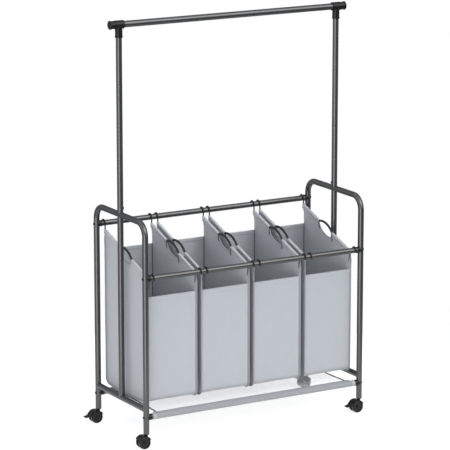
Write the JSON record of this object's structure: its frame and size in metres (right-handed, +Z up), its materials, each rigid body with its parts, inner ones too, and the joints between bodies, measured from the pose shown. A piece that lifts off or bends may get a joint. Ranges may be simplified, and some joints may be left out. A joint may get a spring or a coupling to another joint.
{
  "type": "laundry sorter",
  "caption": "Rolling laundry sorter: steel tube frame with hanging cloth bags on wire handles, a net shelf below, swivel casters and a clothes rail above.",
  "frame": {"origin": "on the floor, midway between the four legs", "axes": "+Z up, -Y the front, where the lower bag bar is, +X to the right of someone facing the front"},
  "size_m": [1.0068, 0.4086, 1.53],
  "materials": {
    "frame_coat": "satin gunmetal grey powder coat on steel tube",
    "black_plastic": "moulded black plastic, satin",
    "black_bolt": "black coated steel",
    "zinc_steel": "bright zinc plated steel",
    "wheel_plastic": "moulded black nylon wheel, fine moulding marks",
    "bag_cloth": "light grey plain woven polyester",
    "coated_wire": "black plastic coated wire",
    "shelf_net": "fine grey knitted net",
    "sleeve_cloth": "grey plain woven cloth sleeve",
    "binding_tape": "dark grey woven binding tape",
    "ring_plastic": "pale grey plastic"
  },
  "bodies": {
    "frame": {"left_side_loop": "frame_coat", "right_side_loop": "frame_coat", "left_cross_tube": "frame_coat", "right_cross_tube": "frame_coat", "left_centre_post": "frame_coat", "right_centre_post": "frame_coat", "rear_upper_bar": "frame_coat", "front_upper_bar": "frame_coat", "rear_lower_bar": "frame_coat", "front_lower_bar": "frame_coat", "bar_end_collars": "black_plastic", "bar_thread_inserts": "zinc_steel", "bar_bolts": "black_bolt", "left_upper_post": "frame_coat", "right_upper_post": "frame_coat", "post_spigots": "frame_coat", "post_screws": "black_bolt", "left_tee_connector": "black_plastic", "right_tee_connector": "black_plastic", "hanging_rail": "frame_coat", "rail_end_caps": "black_plastic", "leg_inserts": "black_plastic", "caster_stems": "zinc_steel", "shelf_net": "shelf_net", "shelf_sleeves": "sleeve_cloth", "shelf_bindings": "binding_tape", "shelf_end_rings": "ring_plastic"},
    "front_left_caster": {"front_left_caster_housing": "black_plastic", "front_left_caster_axle": "zinc_steel"},
    "front_left_front_wheel": {"front_left_wheel_front": "wheel_plastic"},
    "front_left_rear_wheel": {"front_left_wheel_rear": "wheel_plastic"},
    "front_right_caster": {"front_right_caster_housing": "black_plastic", "front_right_caster_axle": "zinc_steel", "front_right_brake_pin": "zinc_steel"},
    "front_right_front_wheel": {"front_right_wheel_front": "wheel_plastic"},
    "front_right_rear_wheel": {"front_right_wheel_rear": "wheel_plastic"},
    "front_right_brake": {"front_right_brake_lever": "black_plastic"},
    "rear_left_caster": {"rear_left_caster_housing": "black_plastic", "rear_left_caster_axle": "zinc_steel", "rear_left_brake_pin": "zinc_steel"},
    "rear_left_front_wheel": {"rear_left_wheel_front": "wheel_plastic"},
    "rear_left_rear_wheel": {"rear_left_wheel_rear": "wheel_plastic"},
    "rear_left_brake": {"rear_left_brake_lever": "black_plastic"},
    "rear_right_caster": {"rear_right_caster_housing": "black_plastic", "rear_right_caster_axle": "zinc_steel"},
    "rear_right_front_wheel": {"rear_right_wheel_front": "wheel_plastic"},
    "rear_right_rear_wheel": {"rear_right_wheel_rear": "wheel_plastic"},
    "bag_1": {"bag_1_fabric": "bag_cloth", "bag_1_left_wire": "coated_wire", "bag_1_right_wire": "coated_wire"},
    "bag_2": {"bag_2_fabric": "bag_cloth", "bag_2_left_wire": "coated_wire", "bag_2_right_wire": "coated_wire"},
    "bag_3": {"bag_3_fabric": "bag_cloth", "bag_3_left_wire": "coated_wire", "bag_3_right_wire": "coated_wire"},
    "bag_4": {"bag_4_fabric": "bag_cloth", "bag_4_left_wire": "coated_wire", "bag_4_right_wire": "coated_wire"}
  },
  "joints": [
    {"name": "front_left_swivel", "type": "hinge", "parent": "frame", "child": "front_left_caster", "pos_m": [-0.455, -0.186, 0.045], "axis": [0, 0, 1], "continuous": true},
    {"name": "front_right_swivel", "type": "hinge", "parent": "frame", "child": "front_right_caster", "pos_m": [0.455, -0.186, 0.045], "axis": [0, 0, 1], "continuous": true},
    {"name": "rear_left_swivel", "type": "hinge", "parent": "frame", "child": "rear_left_caster", "pos_m": [-0.455, 0.186, 0.045], "axis": [0, 0, 1], "continuous": true},
    {"name": "rear_right_swivel", "type": "hinge", "parent": "frame", "child": "rear_right_caster", "pos_m": [0.455, 0.186, 0.045], "axis": [0, 0, 1], "continuous": true},
    {"name": "front_left_front_roll", "type": "hinge", "parent": "front_left_caster", "child": "front_left_front_wheel", "pos_m": [-0.468, -0.1974, 0.0225], "axis": [0, 1, 0], "continuous": true},
    {"name": "front_left_rear_roll", "type": "hinge", "parent": "front_left_caster", "child": "front_left_rear_wheel", "pos_m": [-0.468, -0.1746, 0.0225], "axis": [0, 1, 0], "continuous": true},
    {"name": "front_right_front_roll", "type": "hinge", "parent": "front_right_caster", "child": "front_right_front_wheel", "pos_m": [0.442, -0.1974, 0.0225], "axis": [0, 1, 0], "continuous": true},
    {"name": "front_right_rear_roll", "type": "hinge", "parent": "front_right_caster", "child": "front_right_rear_wheel", "pos_m": [0.442, -0.1746, 0.0225], "axis": [0, 1, 0], "continuous": true},
    {"name": "rear_left_front_roll", "type": "hinge", "parent": "rear_left_caster", "child": "rear_left_front_wheel", "pos_m": [-0.468, 0.1746, 0.0225], "axis": [0, 1, 0], "continuous": true},
    {"name": "rear_left_rear_roll", "type": "hinge", "parent": "rear_left_caster", "child": "rear_left_rear_wheel", "pos_m": [-0.468, 0.1974, 0.0225], "axis": [0, 1, 0], "continuous": true},
    {"name": "rear_right_front_roll", "type": "hinge", "parent": "rear_right_caster", "child": "rear_right_front_wheel", "pos_m": [0.442, 0.1746, 0.0225], "axis": [0, 1, 0], "continuous": true},
    {"name": "rear_right_rear_roll", "type": "hinge", "parent": "rear_right_caster", "child": "rear_right_rear_wheel", "pos_m": [0.442, 0.1974, 0.0225], "axis": [0, 1, 0], "continuous": true},
    {"name": "front_right_brake_press", "type": "hinge", "parent": "front_right_caster", "child": "front_right_brake", "pos_m": [0.41737, -0.186, 0.03147], "axis": [0, -1, 0], "range_deg": [0, 14]},
    {"name": "rear_left_brake_press", "type": "hinge", "parent": "rear_left_caster", "child": "rear_left_brake", "pos_m": [-0.49263, 0.186, 0.03147], "axis": [0, -1, 0], "range_deg": [0, 14]},
    {"name": "bag_1_lift", "type": "slide", "parent": "frame", "child": "bag_1", "axis": [0, 0, 1], "range_m": [0, 0.65]},
    {"name": "bag_2_lift", "type": "slide", "parent": "frame", "child": "bag_2", "axis": [0, 0, 1], "range_m": [0, 0.65]},
    {"name": "bag_3_lift", "type": "slide", "parent": "frame", "child": "bag_3", "axis": [0, 0, 1], "range_m": [0, 0.65]},
    {"name": "bag_4_lift", "type": "slide", "parent": "frame", "child": "bag_4", "axis": [0, 0, 1], "range_m": [0, 0.65]}
  ]
}
